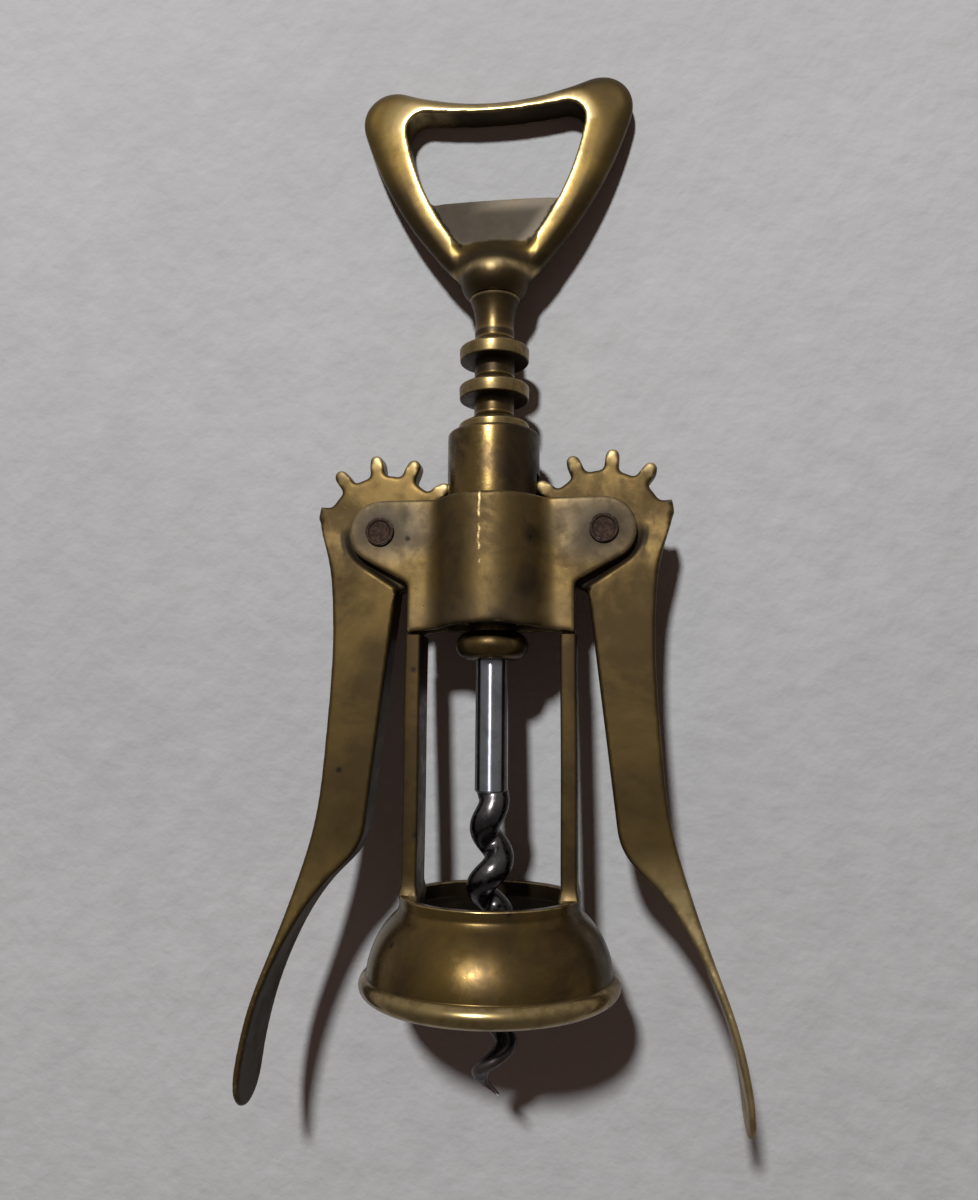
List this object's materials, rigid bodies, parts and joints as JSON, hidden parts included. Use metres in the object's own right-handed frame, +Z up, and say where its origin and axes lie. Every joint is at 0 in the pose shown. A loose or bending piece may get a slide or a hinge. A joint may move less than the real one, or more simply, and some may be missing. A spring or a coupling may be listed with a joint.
{
  "type": "wing corkscrew",
  "caption": "Upright wing corkscrew: open bell on legs, toothed side levers meshing with a ringed rack, steel worm, and a looped handle that opens crown caps.",
  "frame": {"origin": "centre of the bell's rim, in the plane that sits on the bottle", "axes": "+Z up along the worm from the bell to the handle, -Y towards the viewer of the picture, +X to the picture's right"},
  "size_m": [0.0812, 0.042, 0.1768],
  "materials": {
    "brass_bell": "polished brass gone brown with age",
    "brass_plates": "cast brass, dull with brown stains",
    "brass_legs": "drawn brass bar, tarnished",
    "brass_turned": "turned brass, dark and half bright",
    "brass_levers": "cast brass, brown patina, bright on the worn edges",
    "brass_handle": "cast brass, polished by use on the outside",
    "bright_steel": "bright plated steel",
    "rusty_steel": "dark steel with brown rust"
  },
  "bodies": {
    "stand": {"bell": "brass_bell", "left_leg": "brass_legs", "right_leg": "brass_legs", "front_plate": "brass_plates", "back_plate": "brass_plates", "guide_tube": "brass_turned", "left_rivet": "rusty_steel", "right_rivet": "rusty_steel"},
    "rack": {"rack": "brass_turned"},
    "screw": {"worm": "bright_steel", "end_collar": "brass_turned", "handle": "brass_handle"},
    "left_lever": {"left_lever": "brass_levers"},
    "right_lever": {"right_lever": "brass_levers"}
  },
  "joints": [
    {"name": "rack_slide", "type": "slide", "parent": "stand", "child": "rack", "axis": [0, 0, 1], "range_m": [-0.0252, 0.00167]},
    {"name": "screw_turn", "type": "hinge", "parent": "rack", "child": "screw", "pos_m": [0, 0, 0.1], "axis": [0, 0, 1], "continuous": true},
    {"name": "right_lever_pivot", "type": "hinge", "parent": "stand", "child": "right_lever", "pos_m": [0.0188, 0, 0.07465], "axis": [0, -1, 0], "range_deg": [-7.3, 110.38]},
    {"name": "left_lever_pivot", "type": "hinge", "parent": "stand", "child": "left_lever", "pos_m": [-0.0188, 0, 0.07465], "axis": [0, 1, 0], "range_deg": [-7.3, 110.38]}
  ],
  "couplings": [
    {"joint": "right_lever_pivot", "follows": "rack_slide", "rad_per_m": -76.438},
    {"joint": "left_lever_pivot", "follows": "rack_slide", "rad_per_m": -76.438}
  ]
}
